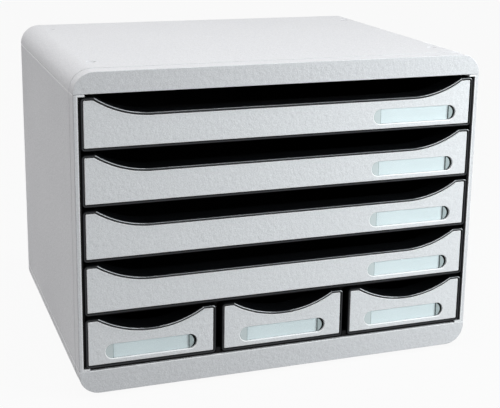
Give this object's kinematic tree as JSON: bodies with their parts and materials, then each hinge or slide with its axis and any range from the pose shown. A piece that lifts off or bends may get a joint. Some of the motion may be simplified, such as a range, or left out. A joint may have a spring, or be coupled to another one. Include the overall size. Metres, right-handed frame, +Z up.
{
  "type": "desktop file drawer",
  "caption": "Desktop drawer set in a rounded light grey plastic shell: wide drawers above a row of small ones, with black trays, finger scoops, grey front plates and label windows.",
  "frame": {"origin": "on the surface that the feet stand on, below the middle of the shell's width and depth", "axes": "+X to the right as seen from the front, +Y to the back, +Z up; the drawers open towards -Y"},
  "size_m": [0.355, 0.27, 0.271],
  "materials": {
    "shell_plastic": "moulded plastic with a fine spark texture",
    "plate_plastic": "moulded plastic with a fine spark texture",
    "tray_plastic": "satin black moulded plastic",
    "liner_plastic": "black moulded plastic",
    "foot_rubber": "soft dark grey rubber",
    "window_plastic": "clear gloss plastic with frosted ends",
    "label_card": "smooth pale card"
  },
  "bodies": {
    "housing": {"top_cover": "shell_plastic", "bottom_cover": "shell_plastic", "left_side_panel": "shell_plastic", "right_side_panel": "shell_plastic", "back_panel": "shell_plastic", "foot_front_left": "foot_rubber", "foot_front_right": "foot_rubber", "foot_back_left": "foot_rubber", "foot_back_right": "foot_rubber", "left_runner_rack": "liner_plastic", "right_runner_rack": "liner_plastic", "middle_shelf": "liner_plastic", "base_shelf": "liner_plastic", "left_divider": "liner_plastic", "right_divider": "liner_plastic"},
    "wide_drawer_1": {"wide_drawer_1_tray": "tray_plastic", "wide_drawer_1_front_plate": "plate_plastic", "wide_drawer_1_label_window": "window_plastic", "wide_drawer_1_label_card": "label_card"},
    "wide_drawer_2": {"wide_drawer_2_tray": "tray_plastic", "wide_drawer_2_front_plate": "plate_plastic", "wide_drawer_2_label_window": "window_plastic", "wide_drawer_2_label_card": "label_card"},
    "wide_drawer_3": {"wide_drawer_3_tray": "tray_plastic", "wide_drawer_3_front_plate": "plate_plastic", "wide_drawer_3_label_window": "window_plastic", "wide_drawer_3_label_card": "label_card"},
    "wide_drawer_4": {"wide_drawer_4_tray": "tray_plastic", "wide_drawer_4_front_plate": "plate_plastic", "wide_drawer_4_label_window": "window_plastic", "wide_drawer_4_label_card": "label_card"},
    "small_drawer_left": {"small_drawer_left_tray": "tray_plastic", "small_drawer_left_front_plate": "plate_plastic", "small_drawer_left_label_window": "window_plastic", "small_drawer_left_label_card": "label_card"},
    "small_drawer_middle": {"small_drawer_middle_tray": "tray_plastic", "small_drawer_middle_front_plate": "plate_plastic", "small_drawer_middle_label_window": "window_plastic", "small_drawer_middle_label_card": "label_card"},
    "small_drawer_right": {"small_drawer_right_tray": "tray_plastic", "small_drawer_right_front_plate": "plate_plastic", "small_drawer_right_label_window": "window_plastic", "small_drawer_right_label_card": "label_card"}
  },
  "joints": [
    {"name": "wide_drawer_1_slide", "type": "slide", "parent": "housing", "child": "wide_drawer_1", "axis": [0, -1, 0], "range_m": [0, 0.19]},
    {"name": "wide_drawer_2_slide", "type": "slide", "parent": "housing", "child": "wide_drawer_2", "axis": [0, -1, 0], "range_m": [0, 0.19]},
    {"name": "wide_drawer_3_slide", "type": "slide", "parent": "housing", "child": "wide_drawer_3", "axis": [0, -1, 0], "range_m": [0, 0.19]},
    {"name": "wide_drawer_4_slide", "type": "slide", "parent": "housing", "child": "wide_drawer_4", "axis": [0, -1, 0], "range_m": [0, 0.19]},
    {"name": "small_drawer_left_slide", "type": "slide", "parent": "housing", "child": "small_drawer_left", "axis": [0, -1, 0], "range_m": [0, 0.19]},
    {"name": "small_drawer_middle_slide", "type": "slide", "parent": "housing", "child": "small_drawer_middle", "axis": [0, -1, 0], "range_m": [0, 0.19]},
    {"name": "small_drawer_right_slide", "type": "slide", "parent": "housing", "child": "small_drawer_right", "axis": [0, -1, 0], "range_m": [0, 0.19]}
  ]
}
